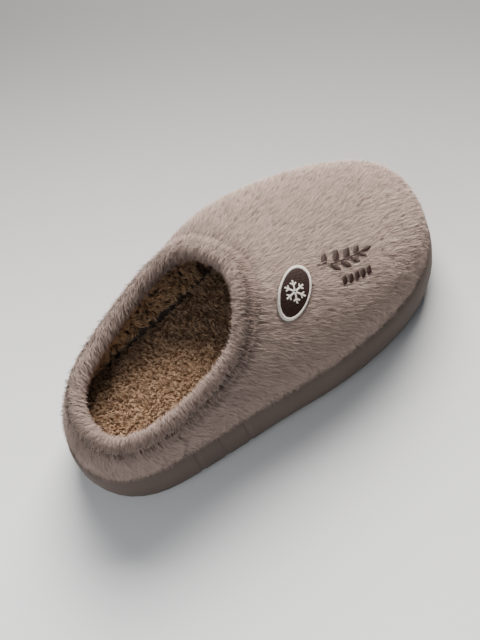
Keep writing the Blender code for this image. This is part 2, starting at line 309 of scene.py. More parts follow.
class Finish:
    """One material, built from expressions that end in its shader."""

    def __init__(self, name, color, roughness, **shader):
        self.material = bpy.data.materials.new(name)
        self.material.use_nodes = True
        self.tree = self.material.node_tree
        self.shader = self.tree.nodes["Principled BSDF"]
        self.feed(self.shader.inputs["Base Color"], color)
        self.feed(self.shader.inputs["Roughness"], roughness)
        for socket, value in shader.items():
            self.use(socket.replace("_", " ").title().replace("Ior", "IOR"), value)

    def feed(self, socket, value):
        if isinstance(value, Tone):
            self.tree.links.new(value.socket, socket)
        else:
            socket.default_value = value

    def add(self, kind, settings=None, inputs=None, output=0):
        """A node of this kind, its settings first and then its sockets, by name or number."""
        node = self.tree.nodes.new("ShaderNode" + kind)
        for setting, value in (settings or {}).items():
            if setting == "stops":
                ramp = node.color_ramp
                for place, color in value[1:-1]:
                    ramp.elements.new(place).color = color
                ramp.elements[0].position, ramp.elements[0].color = value[0]
                ramp.elements[-1].position, ramp.elements[-1].color = value[-1]
            else:
                setattr(node, setting, value)
        for socket, value in (inputs or {}).items():
            self.feed(node.inputs[socket], value)
        return Tone(self, node.outputs[output])

    def blend(self, factor, one, other, how="MIX"):
        settings = {"data_type": "RGBA", "blend_type": how}
        return self.add("Mix", settings, {0: factor, 6: one, 7: other}, 2)

    def ramp(self, value, *stops):
        return self.add("ValToRGB", {"stops": stops}, {0: value})

    def place(self):
        """The piece's own coordinates: along X, Y and Z."""
        return self.add("TexCoord", output=3)

    def parts(self, vector):
        node = self.add("SeparateXYZ", inputs={0: vector}).socket.node
        return [Tone(self, output) for output in node.outputs]

    def speckle(self, scale, detail=2.0):
        inputs = {"Vector": self.place(), "Scale": scale, "Detail": detail}
        return self.add("TexNoise", inputs=inputs)

    def use(self, socket, value):
        self.feed(self.shader.inputs[socket], value)

    def bump(self, height, distance):
        inputs = {"Height": height, "Distance": distance, "Strength": 1.0}
        self.use("Normal", self.add("Bump", inputs=inputs))


def pile_finish(name, hair, dark, sheen):
    """Hair: shaded from root to tip along its map, and from dark to light across it, by a tone that
    holds both random variation and painted shade.
    """
    root, middle, tip = hair
    made = Finish(name, middle, 0.75, sheen_weight=sheen, specular_ior_level=0.25)
    reach, shade, _ = made.parts(made.add("UVMap", {"uv_map": "OFBake"}))
    length = made.ramp(reach, (0.0, root), (0.4, middle), (0.8, tip), (1.0, tip))
    tone = made.ramp(shade, (0.0, dark), (1.0, LIGHT_LOCK))
    made.use("Base Color", made.blend(1.0, length, tone, "MULTIPLY"))
    return made.material


def cloth_finish(name, color, deeper):
    """Backing cloth under the pile, with a fine knit."""
    made = Finish(name, color, 0.95)
    grain = made.speckle(900)
    made.use("Base Color", made.blend(grain.fade(0.35, 0.65), deeper, color))
    made.bump(grain, 0.0004)
    return made.material


def foam_rubber():
    """Matt moulded foam: a fine skin, faint cuts above the waist grooves, and ribs underneath."""
    made = Finish("foam_rubber", FOAM, 0.72, specular_ior_level=0.35)
    x, y, z = made.parts(made.place())
    broad = made.speckle(28, 3.0)
    made.use("Base Color", made.blend(broad.fade(0.3, 0.7), FOAM_DEEP, FOAM))
    made.use("Roughness", 0.66 + broad * 0.14)
    cuts = 0.0
    for along in WAIST_GROOVES:
        away = (y - (along * UPPER_LENGTH + SHIFT[1])).size()
        cuts = cuts + (1 - away.fade(0.0006, 0.0022))
    above = z.fade(0.006, 0.009)
    facing_up = made.parts(made.add("NewGeometry", output=1))[2]
    under = (facing_up * -1.0).fade(0.6, 0.9)
    rib_waves = 900
    ribs = ((x + y) * rib_waves).wave() * ((x - y) * rib_waves).wave()
    skin = made.speckle(1600, 1.0)
    made.bump(skin * 0.12 - cuts * above * 0.8 + ribs.fade(-0.2, 0.5) * under, 0.0006)
    return made.material


def thread_finish(name, color, deeper):
    made = Finish(name, color, 0.6, specular_ior_level=0.3)
    made.use("Base Color", made.blend(made.speckle(1200).fade(0.3, 0.7), deeper, color))
    return made.material


# Hair from root to tip, and what its darkest and lightest strands are multiplied by; painted shade
# lowers strands' tone toward the darkest
FUR_HAIR = paint(112, 98, 92), paint(158, 139, 130), paint(202, 180, 168)
LINING_HAIR = paint(116, 84, 60), paint(204, 163, 124), paint(240, 206, 168)
FOOTBED_HAIR = paint(154, 122, 96), paint(192, 156, 124), paint(218, 184, 151)
DARK_LOCK, LIGHT_LOCK = (0.62, 0.60, 0.60, 1.0), (1.0, 1.0, 1.0, 1.0)
# The lining's and footbed's darkest tones are near black, for the painted shade into the toe
DARK_LINING, DARK_FOOTBED = (0.08, 0.06, 0.05, 1.0), (0.09, 0.07, 0.055, 1.0)
FOAM, FOAM_DEEP = paint(98, 85, 78), paint(89, 77, 70)
THREAD_DARK, THREAD_DARKER = paint(50, 26, 20), paint(36, 18, 14)
THREAD_PALE, THREAD_SHADE = paint(226, 220, 212), paint(196, 188, 180)


# Pieces


def settle(obj, look):
    """Gives a finished piece its one material and its body."""
    obj.data.materials.clear()
    obj.data.materials.append(look)
    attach(obj, "root")


def mesh_object(name, points, corners, sides, bake_map=None):
    """An object from arrays: points, the corners of its faces in order, and each face's count."""
    mesh = bpy.data.meshes.new(name)
    mesh.vertices.add(len(points))
    mesh.vertices.foreach_set("co", np.ascontiguousarray(points, np.float32).ravel())
    mesh.loops.add(len(corners))
    mesh.loops.foreach_set("vertex_index", np.ascontiguousarray(corners, np.int32))
    mesh.polygons.add(len(sides))
    mesh.polygons.foreach_set("loop_start", (np.cumsum(sides) - sides).astype(np.int32))
    if bake_map is not None:
        layer = mesh.uv_layers.new(name="OFBake")
        layer.data.foreach_set("uv", np.ascontiguousarray(bake_map, np.float32).ravel())
    mesh.update(calc_edges=True)
    mesh.shade_smooth()
    obj = bpy.data.objects.new(name, mesh)
    bpy.context.scene.collection.objects.link(obj)
    return obj


def hair_object(name, paths, side, width, shade):
    """Tapered strips along paths of shape (hairs, levels, 3), each with a shade from 0 to 1."""
    hairs, levels, _ = paths.shape
    steps = levels - 1
    taper = np.interp(np.arange(steps) / steps, [0, 0.3, 0.67, 1], [0.8, 1.0, 0.75, 0.3])
    half = side * (width / 2)[:, None, None] * taper[None, :, None]
    body = np.stack([paths[:, :-1] - half, paths[:, :-1] + half], axis=2)
    points = np.concatenate([body.reshape(hairs, -1, 3), paths[:, -1:]], axis=1)
    order, reach = [], []
    for level in range(steps - 1):
        left, right, share, after = 2 * level, 2 * level + 1, level / steps, (level + 1) / steps
        order += [right, left, left + 2, right + 2]
        reach += [(share, 1), (share, 0), (after, 0), (after, 1)]
    last, share = 2 * (steps - 1), (steps - 1) / steps
    order += [last + 1, last, last + 2]
    reach += [(share, 1), (share, 0), (1.0, 0.5)]
    per_hair = points.shape[1]
    corners = (np.arange(hairs)[:, None] * per_hair + np.array(order)).ravel()
    sides = np.tile([4] * (steps - 1) + [3], hairs)
    band = np.clip((shade * TONES).astype(int), 0, TONES - 1)
    reach = np.array(reach)
    across = (band[:, None] + 0.15 + 0.7 * reach[:, 1]) / TONES
    along = np.broadcast_to(0.02 + 0.96 * reach[:, 0], across.shape)
    bake_map = np.stack([along, across], axis=-1)
    return mesh_object(name, points.reshape(-1, 3), corners, sides, bake_map.reshape(-1, 2))


def scatter(rng, spacing, low, high, first, last):
    """Station numbers and shares up the section, evenly spread over the face at about this spacing."""
    columns = int(round(FEATHER_LENGTH / spacing * (last - first) / ROUND))
    rows = 160
    numbers = first + (np.arange(columns) + 0.5) * (last - first) / columns
    ups = low + (np.arange(rows) + 0.5) * (high - low) / rows
    at = face_frame(numbers[:, None], ups[None, :])
    area = np.linalg.norm(np.cross(at.round_shoe, at.up_section), axis=-1)
    area *= (last - first) / columns * (high - low) / rows
    count = np.cumsum(area / spacing**2, axis=1) + rng.uniform(0, 1, (columns, 1))
    new = np.diff(np.floor(count), axis=1, prepend=np.floor(count[:, :1])).astype(int)
    column, row = np.nonzero(new)
    jitter = rng.uniform(-0.5, 0.5, (2, len(column)))
    return (
        numbers[column] + jitter[0] * (last - first) / columns,
        ups[row] + jitter[1] * (high - low) / rows,
    )


def lock_shapes(rng, count, strands, levels, length, spread, depth, proud, gather=0.3):
    """Distance along, across and above the mean face of each strand's points, lock by lock."""
    t = np.linspace(0, 1, levels)
    lock, strand = (count, 1, 1), (count, strands, 1)
    reach = length * rng.uniform(0.85, 1.15, lock) * rng.uniform(0.75, 1.15, strand)
    start = np.clip(rng.normal(0, spread, (2, *strand)), -2.2 * spread, 2.2 * spread)
    stray = rng.normal(0, 0.12, strand) * reach
    bow = rng.normal(0, 0.0004, lock) + rng.normal(0, 0.0002, strand)
    along = start[0] + reach * t
    across = start[1] * (1 - gather * t**1.4) + stray * t**1.5 + bow * np.sin(math.pi * t)
    loose_share = 0.2
    loose = (rng.uniform(0, 1, strand) < loose_share) * rng.uniform(0.0004, 0.0020, strand)
    top = proud + rng.normal(0, 0.0002, lock) + rng.normal(0, 0.0004, strand) + loose
    height = -depth + (depth + top) * np.sin(t * math.pi / 2) ** 0.9
    return along, across, height


def past_heel(numbers):
    """Station numbers as signed steps from the middle of the heel."""
    return (numbers + ROUND / 2) % ROUND - ROUND / 2


def flow(at, numbers):
    """Down the section, across it, and the way the pile lies: down, with a drift along the shoe."""
    down = -unit(at.up_section)
    across = unit(at.round_shoe - down * dot(at.round_shoe, down))
    toeward = TOEWARD - at.normal * dot(TOEWARD[None], at.normal)
    outward = OUTWARD - at.normal * dot(OUTWARD[None], at.normal)
    place = numbers % ROUND
    outer = smooth_step(0.6, 2.5, place) * (1 - smooth_step(6.5, 8, place))
    inner = smooth_step(10.5, 12, place) * (1 - smooth_step(14.5, 15.8, place))
    behind = np.exp(-(past_heel(numbers) ** 2))
    drift = toeward * (0.20 * outer + 0.40 * inner)[:, None] + outward * (0.4 * behind)[:, None]
    return down, across, unit(down + drift)


def on_face(at, numbers, ups, down, across, forward, aside):
    """Station number and share up the section after moves over the face from each lock's root."""
    slip = dot(at.round_shoe, down)[..., None]
    width = dot(at.round_shoe, across)[..., None]
    drop = np.linalg.norm(at.up_section, axis=-1)[:, None, None]
    move = aside / width
    return numbers[:, None, None] + move, ups[:, None, None] + (move * slip - forward) / drop


def throat_painted_shade(numbers):
    """1 round the throat and along the inner side, 0 along the outer side and the heel: how much painted
    shade the hair's colour takes there.
    """
    place = numbers % ROUND
    return smooth_step(6.4, 7.8, place) * (1 - smooth_step(12.5, 14.5, place))


def turned(along, sideways, angle):
    """Moves along and sideways after a turn by this angle, lock by lock."""
    cos, sin = np.cos(angle)[:, None, None], np.sin(angle)[:, None, None]
    return along * cos - sideways * sin, along * sin + sideways * cos


def side_partings(at, numbers, ups):
    """How much the pile turns away from the side seams and how near each lock is to one."""
    turn, parting = 0.0, 0.0
    for foot, lean in SIDE_SEAMS:
        aside = (numbers - foot - lean * ups) * np.linalg.norm(at.round_shoe, axis=-1)
        near = np.exp(-((aside / 0.0018) ** 2))
        turn, parting = turn + np.sign(aside) * near * 0.6, parting + near
    return turn, parting


def upper_fur(name, seed, first, last, badge, sprig):
    """The pile of one stretch of the upper, parted from the roll and hanging over the sole."""
    rng = np.random.default_rng(seed)
    numbers, ups = scatter(rng, LOCK_SPACING * SPARSER, 0.0, 0.995, first, last)
    at = face_frame(numbers, ups)
    down, across, lie = flow(at, numbers)
    count, levels = len(numbers), 3
    sway = ripple(at.point, 0.022, 5) * 0.14 + ripple(at.point, 0.009, 6) * 0.07
    sway = sway + rng.normal(0, 0.06, count)
    away, parting = side_partings(at, numbers, ups)
    lean = np.arctan2(dot(lie, across), dot(lie, down))[:, 0]

    # Toward the feather line the hairs get shorter, and toward the seam their roots lie shallower
    slant = np.linalg.norm(at.up_section, axis=-1)
    from_seam = (1 - ups) * slant
    room = ups * slant / np.maximum(dot(lie, down)[:, 0], 0.3) + 0.0012
    share = np.clip(room / PILE_LENGTH, 0.22, 1)[:, None, None]
    depth = np.interp(from_seam, [0.0, 0.005], [0.0012, PILE_DEPTH])[:, None, None] * share**0.6
    along, sideways, height = lock_shapes(
        rng, count, STRANDS, levels, PILE_LENGTH * share, spread=0.0009, depth=depth, proud=0.0006
    )
    height = height - (parting * 0.0012)[:, None, None] * np.linspace(0, 1, levels)
    forward, aside = turned(along, sideways, lean + sway + away)
    hair_numbers, hair_ups = on_face(at, numbers, ups, down, across, forward, aside)
    hair_ups = np.minimum(hair_ups, 1.0)
    here = face_frame(hair_numbers, hair_ups)
    height = hold_down(here.point, height, badge, sprig)
    below = np.clip(-hair_ups, 0, None) * np.linalg.norm(here.up_section, axis=-1)
    below = np.minimum(below, OVERHANG)[..., None]
    flat_out = unit(here.normal * (1, 1, 0))
    paths = here.point + here.normal * height[..., None] + flat_out * below * 0.7 - UP * below * 0.1

    tone = 0.56 + 0.10 * ripple(at.point, 0.011, 7) + 0.10 * ripple(at.point, 0.0035, 8)
    # Painted shade: round the throat and along the inner side the hair darkens toward the seam
    tone = tone - 0.42 * throat_painted_shade(numbers) * (1 - smooth_step(0.001, 0.017, from_seam))
    tone = tone + rng.normal(0, 0.07, count)
    strips(name, rng, paths, here.normal, tone, HAIR_WIDTH, FUR)


def strips(name, rng, paths, normals, tone, width, look, roll=0.55):
    """Hairs with a thickness and a turn of their own, as one piece."""
    locks, strands, levels, _ = paths.shape
    paths = paths.reshape(-1, levels, 3)
    normals = normals.reshape(-1, levels, 3)[:, levels // 2]
    heading = unit(paths[:, -1] - paths[:, 0])
    side = unit(np.cross(heading, normals))
    angle = rng.normal(0, roll, len(paths))[:, None]
    side = unit(side * np.cos(angle) + np.cross(heading, side) * np.sin(angle))
    shade = np.repeat(tone, strands) + rng.normal(0, 0.12, len(paths))
    widths = width * rng.uniform(0.75, 1.25, len(paths))
    hair = hair_object(name, paths, -side[:, None, :], widths, np.clip(shade, 0, 0.999))
    settle(hair, look)


# Collar roll


def roll_frame(numbers):
    """Middle line, outward normal and rise of the collar roll at these station numbers."""
    numbers = np.asarray(numbers, float)
    flat = numbers.ravel()
    at = face_frame(flat, np.ones(len(flat)))
    rise = unit(np.cross(at.round_shoe, at.normal))
    rise *= np.sign(rise[:, 2:])
    middle = at.point - at.normal * (ROLL_WIDTH / 2 - ROLL_PROUD)
    middle = middle + rise * (SEAM_CLEARANCE + ROLL_HEIGHT / 2)
    shape = numbers.shape + (3,)
    run = at.round_shoe
    return [part.reshape(shape) for part in (middle, at.normal, rise, run)]


def roll_point(numbers, angle, out):
    """A point over the roll: angle 0 faces outward, a quarter turn up, a half turn into the opening."""
    middle, normal, rise, _ = roll_frame(numbers)
    cos, sin = np.cos(angle)[..., None], np.sin(angle)[..., None]
    ring = normal * cos * (ROLL_WIDTH / 2) + rise * sin * (ROLL_HEIGHT / 2)
    facing = unit(normal * cos + rise * sin)
    return middle + ring + facing * out[..., None], facing


def collar_fur():
    """Pile that runs from the seam over the roll and stands out more where it meets the opening."""
    rng = np.random.default_rng(31)
    spacing = ROLL_SPACING * SPARSER
    over_roll, first_angle, last_angle = 0.017, -78, 160
    rows, columns = int(over_roll / spacing), int(COLLAR_LENGTH / spacing)
    row, column = np.divmod(np.arange(rows * columns), columns)
    count = len(column)
    numbers = (column + rng.uniform(-0.5, 0.5, count)) * ROUND / columns
    part_way = (row + rng.uniform(0, 1, count)) * (last_angle - first_angle) / rows
    angles = np.radians(first_angle + part_way)
    middle, _, _, run = roll_frame(numbers)
    stretch = np.linalg.norm(run, axis=-1)[:, None, None]
    along, sideways, height = lock_shapes(
        rng, count, 3, 4, ROLL_HAIR, spread=0.0008, depth=ROLL_PILE, proud=0.0008, gather=0.1
    )
    turn = between_rows(numbers, ROLL_NAP) + ripple(middle, 0.016, 11) * 0.2
    forward, aside = turned(along, sideways, turn + rng.normal(0, 0.10, count))
    hair_numbers = numbers[:, None, None] + aside / stretch
    hair_angles = angles[:, None, None] + forward / (ROLL_HEIGHT / 2 + 0.0006)
    fringe = smooth_step(2.0, 3.6, hair_angles) * 0.0012
    paths, facing = roll_point(hair_numbers, hair_angles, height + fringe)
    # Painted shade: the roll's tone table keeps its hair dark all round, lightest at the heel
    tone = between_rows(numbers, ROLL_PAINTED_SHADE_TONE)
    tone = tone + 0.10 * ripple(middle + facing[:, 0, 0] * 0.01, 0.007, 12)
    tone = tone + rng.normal(0, 0.04, count)
    strips("collar_fur", rng, paths, facing, tone, HAIR_WIDTH * 0.85, FUR)


def seam_fur():
    """Pile at the seam: a fan out of it on the outer side, and hair laid over it elsewhere."""
    rng = np.random.default_rng(37)
    count, strands = int(SEAM_LOCKS / SPARSER), 10
    numbers = (np.arange(count) + rng.uniform(-0.5, 0.5, count)) * ROUND / count
    at = face_frame(numbers, np.ones(count))
    rise = unit(np.cross(at.round_shoe, at.normal))
    rise = (rise * np.sign(rise[:, 2:]))[:, None, None]
    run, normal = unit(at.round_shoe)[:, None, None], at.normal[:, None, None]
    t = np.linspace(0, 1, 4)
    shape = (count, strands, 1)
    angle = rng.uniform(-1, 1, shape) * (0.6 + 0.9 * t)
    reach = rng.uniform(0.0028, 0.0054, shape)
    out = -0.0014 + reach * t * np.cos(angle * 0.8)
    climb = rng.normal(0, 0.0007, shape) + reach * t * np.sin(angle * 0.8)
    fan = at.point[:, None, None] + normal * out[..., None] + rise * climb[..., None]

    start = np.radians(rng.uniform(0, 75, shape))
    aside = rng.normal(0, 0.0006, shape)
    near = numbers[:, None, None] + aside / np.linalg.norm(at.round_shoe, axis=-1)[:, None, None]
    first, _ = roll_point(near, start, rng.uniform(-0.0012, -0.0004, shape))
    over, _ = roll_point(near, start * 0.2 - 0.3, rng.uniform(0.0010, 0.0022, shape))
    drop = rng.uniform(0.0025, 0.0065, shape)
    last = at.point[:, None, None] - unit(at.up_section)[:, None, None] * drop[..., None]
    last = last + normal * rng.uniform(0.0002, 0.0012, shape)[..., None] + run * aside[..., None]
    share = t[:, None]
    laid = first * (1 - share) ** 2 + over * 2 * share * (1 - share) + last * share**2

    place = (numbers + 2) % ROUND - 2
    outer = smooth_step(-1.2, 0.2, place) * (1 - smooth_step(4.6, 6.2, place))
    is_laid = rng.uniform(0, 1, shape) > 0.85 * outer[:, None, None]
    sway = rng.normal(0, 0.22, shape) * 0.006 * t**1.5
    paths = np.where(is_laid[..., None], laid, fan) + run * sway[..., None]
    # Painted shade: the seam's hair darkens on the outer side and round the throat
    tone = 0.36 - 0.08 * outer - 0.18 * throat_painted_shade(numbers) + rng.normal(0, 0.05, count)
    facing = np.broadcast_to(normal, paths.shape)
    strips("seam_fur", rng, paths, facing, tone, HAIR_WIDTH, FUR, roll=1.0)


# Sewn work


class SewnPlace:
    """A spot on the vamp with its own two axes, on which stitches are drawn in metres."""

    def __init__(self, place, turn_degrees):
        station, up = place
        self.number, self.up = station, up
        at = face_frame(np.array([station]), np.array([up]))
        self.middle, self.normal = at.point[0], at.normal[0]
        side = unit(at.round_shoe[0])
        climb = unit(at.up_section[0] - side * at.up_section[0].dot(side))
        turn = math.radians(turn_degrees)
        self.x_axis = side * math.cos(turn) - climb * math.sin(turn)
        self.y_axis = side * math.sin(turn) + climb * math.cos(turn)
        self.tangents = np.stack([at.round_shoe[0], at.up_section[0]], axis=-1)

    def raised(self, points, lift):
        """Points over the pile for places of shape (..., 2), each at its lift above the face."""
        points = np.asarray(points, float)
        spread = (points[..., :1] * self.x_axis + points[..., 1:] * self.y_axis).reshape(-1, 3)
        solve, moves = np.linalg.pinv(self.tangents).T, np.zeros((len(spread), 2))
        for _ in range(4):
            reached = outer_face(self.number + moves[:, 0], self.up + moves[:, 1]) - self.middle
            moves += (spread - reached) @ solve
        at = face_frame(self.number + moves[:, 0], self.up + moves[:, 1])
        shape = points.shape[:-1] + (3,)
        lifted = at.point + at.normal * np.broadcast_to(lift, points.shape[:-1]).reshape(-1, 1)
        return lifted.reshape(shape), at.normal.reshape(shape)

    def seen_from_above(self, points):
        away = points - self.middle
        near = np.abs(away @ self.normal) < 0.012
        return away @ self.x_axis, away @ self.y_axis, near


Leaf = namedtuple("Leaf", "x y heading length width")
LEAVES = [
    Leaf(-0.0130, 0.0004, 62, 0.0078, 0.0037),
    Leaf(-0.0092, -0.0002, -50, 0.0068, 0.0033),
    Leaf(-0.0064, 0.0000, 58, 0.0086, 0.0040),
    Leaf(-0.0028, 0.0000, -48, 0.0070, 0.0034),
    Leaf(0.0002, 0.0004, 54, 0.0084, 0.0039),
    Leaf(0.0036, 0.0008, -44, 0.0064, 0.0032),
    Leaf(0.0064, 0.0014, 48, 0.0072, 0.0034),
    Leaf(0.0092, 0.0020, -38, 0.0056, 0.0028),
    Leaf(0.0118, 0.0028, 12, 0.0066, 0.0030),
    Leaf(-0.0062, -0.0136, 62, 0.0058, 0.0030),
    Leaf(-0.0022, -0.0134, 62, 0.0058, 0.0030),
    Leaf(0.0018, -0.0130, 62, 0.0058, 0.0030),
    Leaf(0.0058, -0.0124, 62, 0.0058, 0.0030),
    Leaf(0.0098, -0.0116, 62, 0.0058, 0.0030),
]


def leaf_middle(leaf):
    angle = math.radians(leaf.heading)
    return leaf.x + math.cos(angle) * leaf.length / 2, leaf.y + math.sin(angle) * leaf.length / 2


def hold_down(points, height, badge, sprig):
    """Keeps the pile under the badge and presses it round the sewn leaves."""
    free = 0.01  # higher than any hair
    x, y, near = badge.seen_from_above(points)
    oval = np.hypot(x / (BADGE_LENGTH / 2), y / (BADGE_WIDTH / 2))
    limit = np.where(near, np.interp(oval, [1.0, 1.08, 1.3], [-0.0008, 0.0004, free]), free)
    x, y, near = sprig.seen_from_above(points)
    for leaf in LEAVES:
        middle_x, middle_y = leaf_middle(leaf)
        angle = math.radians(leaf.heading)
        along = (x - middle_x) * math.cos(angle) + (y - middle_y) * math.sin(angle)
        aside = (y - middle_y) * math.cos(angle) - (x - middle_x) * math.sin(angle)
        oval = np.hypot(along / (leaf.length / 2), aside / (leaf.width / 2))
        pressed = np.interp(oval, [0.7, 1.1, 1.5], [-0.0006, 0.0003, free])
        limit = np.where(near, np.minimum(limit, pressed), limit)
    return np.minimum(height, limit)


def thread_object(name, place, paths, lifts, look, width=THREAD):
    """Round-backed threads along paths of shape (threads, levels, 2), each point at its own lift."""
    line, normal = place.raised(paths, lifts)
    heading = unit(np.gradient(line, axis=1))
    side = unit(np.cross(heading, normal)) * width / 2
    crest = line + normal * width * 0.45
    rows = np.stack([line - side, crest, line + side], axis=2)
    threads, levels = rows.shape[:2]
    order = []
    for level in range(levels - 1):
        for lane in range(2):
            corner = level * 3 + lane
            order += [corner, corner + 1, corner + 4, corner + 3]
    corners = (np.arange(threads)[:, None] * levels * 3 + np.array(order)).ravel()
    obj = mesh_object(name, rows.reshape(-1, 3), corners, np.full(len(corners) // 4, 4))
    settle(obj, look)


def satin(start, end, width, pitch=0.0003, slant=0.25):
    """Threads across a straight bar from start to end: paths of shape (threads, 4, 2) and their arch."""
    start, end = np.array(start), np.array(end)
    heading = unit(end - start)
    across = np.array([-heading[1], heading[0]])
    count = max(2, int(np.linalg.norm(end - start) / pitch))
    share = (np.arange(count) + 0.5) / count
    middle = start + (end - start) * share[:, None]
    reach = np.linspace(-0.5, 0.5, 4)
    widths = np.broadcast_to(width(share) if callable(width) else width, count)
    slope = across + heading * slant
    paths = middle[:, None] + reach[:, None] * widths[:, None, None] * slope
    arch = (1 - (2 * reach) ** 2)[None] * np.minimum(widths * 0.22, 0.0005)[:, None]
    return paths, arch


def joined_satin(bars):
    return [np.concatenate(parts) for parts in zip(*(satin(*bar) for bar in bars))]


def snow_star():
    """Six arms with a pair of barbs each."""
    bars = []
    for arm in range(6):
        angle = math.radians(60 * arm + 30)
        way = np.array([math.cos(angle), math.sin(angle)])
        bars.append((way * 0.0005, way * 0.0062, 0.0010))
        for turn in (-55, 55):
            side = angle + math.radians(turn)
            barb = np.array([math.cos(side), math.sin(side)])
            bars.append((way * 0.0036, way * 0.0036 + barb * 0.0021, 0.0008))
    return bars


def badge_work(place):
    """Dark filling, pale overcast border and a pale snow star, on the badge's solid."""
    rng = np.random.default_rng(51)
    top = GAP + BADGE_THICKNESS
    half_length, half_width = BADGE_LENGTH / 2, BADGE_WIDTH / 2
    row_pitch, stitch, step, shortest, margin = 0.00034, 0.0032, 0.0031, 0.0005, 0.0006
    stitches = []
    for x in np.arange(-half_length + 2 * margin, half_length - 0.0010, row_pitch):
        edge = half_width * math.sqrt(1 - (x / half_length) ** 2) - margin
        y = -edge - rng.uniform(0, 0.0030)
        while y < edge:
            low, high = max(y, -edge), min(y + stitch, edge)
            if high - low > shortest:
                stitches.append([(x, low), (x + 0.0001, (low + high) / 2), (x, high)])
            y += step
    paths = np.array(stitches)
    lifts = np.broadcast_to([top, top + THREAD / 2, top], paths.shape[:2])
    thread_object("badge_filling", place, paths, lifts, DARK_THREAD)
    rim_stitches = 250
    angles = np.arange(rim_stitches) * math.tau / rim_stitches
    rim = np.stack([np.cos(angles) * half_length, np.sin(angles) * half_width], axis=-1)
    shares = np.array([0.90, 0.945, 0.99, 1.035, 1.04])
    paths = rim[:, None] * shares[:, None]
    over_rim = top + np.array([0.0, 0.00042, 0.00040, -0.0003, -0.0011])
    lifts = np.broadcast_to(over_rim, paths.shape[:2])
    thread_object("badge_border", place, paths, lifts, PALE_THREAD, width=0.00040)
    paths, arch = joined_satin(snow_star())
    thread_object("badge_star", place, paths, top + 0.0003 + arch, PALE_THREAD)


def sprig_work(place):
    """A small sewn spray of leaves and a row of buds, beside the badge."""
    bars = []
    for leaf in LEAVES:
        angle = math.radians(leaf.heading)
        end = (leaf.x + math.cos(angle) * leaf.length, leaf.y + math.sin(angle) * leaf.length)

        def lens(share, full=leaf.width):
            return full * np.sin(np.pi * np.clip(share, 0.04, 0.96)) ** 0.8

        bars.append(((leaf.x, leaf.y), end, lens))
    paths, arch = joined_satin(bars)
    thread_object("sprig_leaves", place, paths, 0.0008 + arch, DARK_THREAD)
    stem = [(-0.0170, 0.0014), (-0.0130, 0.0004), (-0.0080, -0.0001), (-0.0030, 0.0001)]
    stem += [(0.0020, 0.0006), (0.0065, 0.0014), (0.0105, 0.0024), (0.0125, 0.0030)]
    paths, arch = joined_satin([(one, other, 0.0009) for one, other in zip(stem, stem[1:])])
    thread_object("sprig_stem", place, paths, 0.0011 + arch, DARK_THREAD)


# Skins under the pile


def copied(node, name):
    """A merged copy of a solid's mesh, open in edit mode with everything selected."""
    bpy.ops.object.select_all(action="DESELECT")
    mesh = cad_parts[node].data.copy()
    mesh.name = name
    obj = bpy.data.objects.new(name, mesh)
    bpy.context.scene.collection.objects.link(obj)
    bpy.context.view_layer.objects.active = obj
    obj.select_set(True)
    bpy.ops.object.mode_set(mode="EDIT")
    bpy.ops.mesh.select_all(action="SELECT")
    bpy.ops.mesh.remove_doubles(threshold=0.00001)
    return obj


def shrunk_skin(node, name, depth, look, subdivide=1):
    """A smooth skin in a solid's place, drawn in by the depth of its pile, where it has one."""
    skin = copied(node, name)
    bpy.ops.mesh.customdata_custom_splitnormals_clear()
    bpy.ops.object.mode_set(mode="OBJECT")
    normals = np.array([vertex.normal for vertex in skin.data.vertices])
    points = np.array([vertex.co for vertex in skin.data.vertices])
    sunk = depth(normals) if callable(depth) else np.full(len(points), depth)
    skin.data.vertices.foreach_set("co", (points - normals * sunk[:, None]).ravel())
    skin.data.update()
    if subdivide:
        softer = skin.modifiers.new("softer", "SUBSURF")
        softer.levels = softer.render_levels = subdivide
        bpy.ops.object.modifier_apply(modifier="softer")
    skin.data.shade_smooth()
    settle(skin, look)
    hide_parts(node)
    return skin


def footbed_depth(normals):
    """The insole's top and rim sink under their pile, and its underside stays where it is."""
    return np.where(normals[:, 2] > -0.3, 0.0018, 0.0)


def painted_toe_shade(along, start):
    """How much painted shade darkens the plush's colour into the toe, where little light comes in."""
    return smooth_step(start, 0.022, along) * 0.7 + smooth_step(0.0, 0.03, along) * 0.4


def lining_pile():
    """Curled tufts on the inside of the wall, as far in as the opening shows them."""
    rng = np.random.default_rng(61)
    spans = [(0.10, 0.99, -4.6, 5.4), (0.50, 0.99, 5.4, 11.4)]
    spread_out = [scatter(rng, LINING_SPACING * SPARSER, *span) for span in spans]
    numbers, ups = np.concatenate(spread_out, axis=1)
    at = face_frame(numbers, ups)
    inward = -at.normal
    down = -unit(at.up_section)
    across = unit(np.cross(down, inward))
    root = at.point + inward * (WALL - LINING_PILE)
    above = root[:, 2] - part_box("insole")[1].z
    shown = above > -LINING_START
    root, inward, down, across = (part[shown] for part in (root, inward, down, across))
    tall = LINING_PILE + np.interp(above[shown], [0.0, 0.012], [0.0016, 0.0004])
    # Painted shade: the lining's colour darkens into the toe
    shade = painted_toe_shade(root[:, 1], -0.016)
    ways = inward, down, across
    tufts("lining_pile", rng, root, ways, tall, 8, LINING, width=0.0005, spread=0.0006, shade=shade)


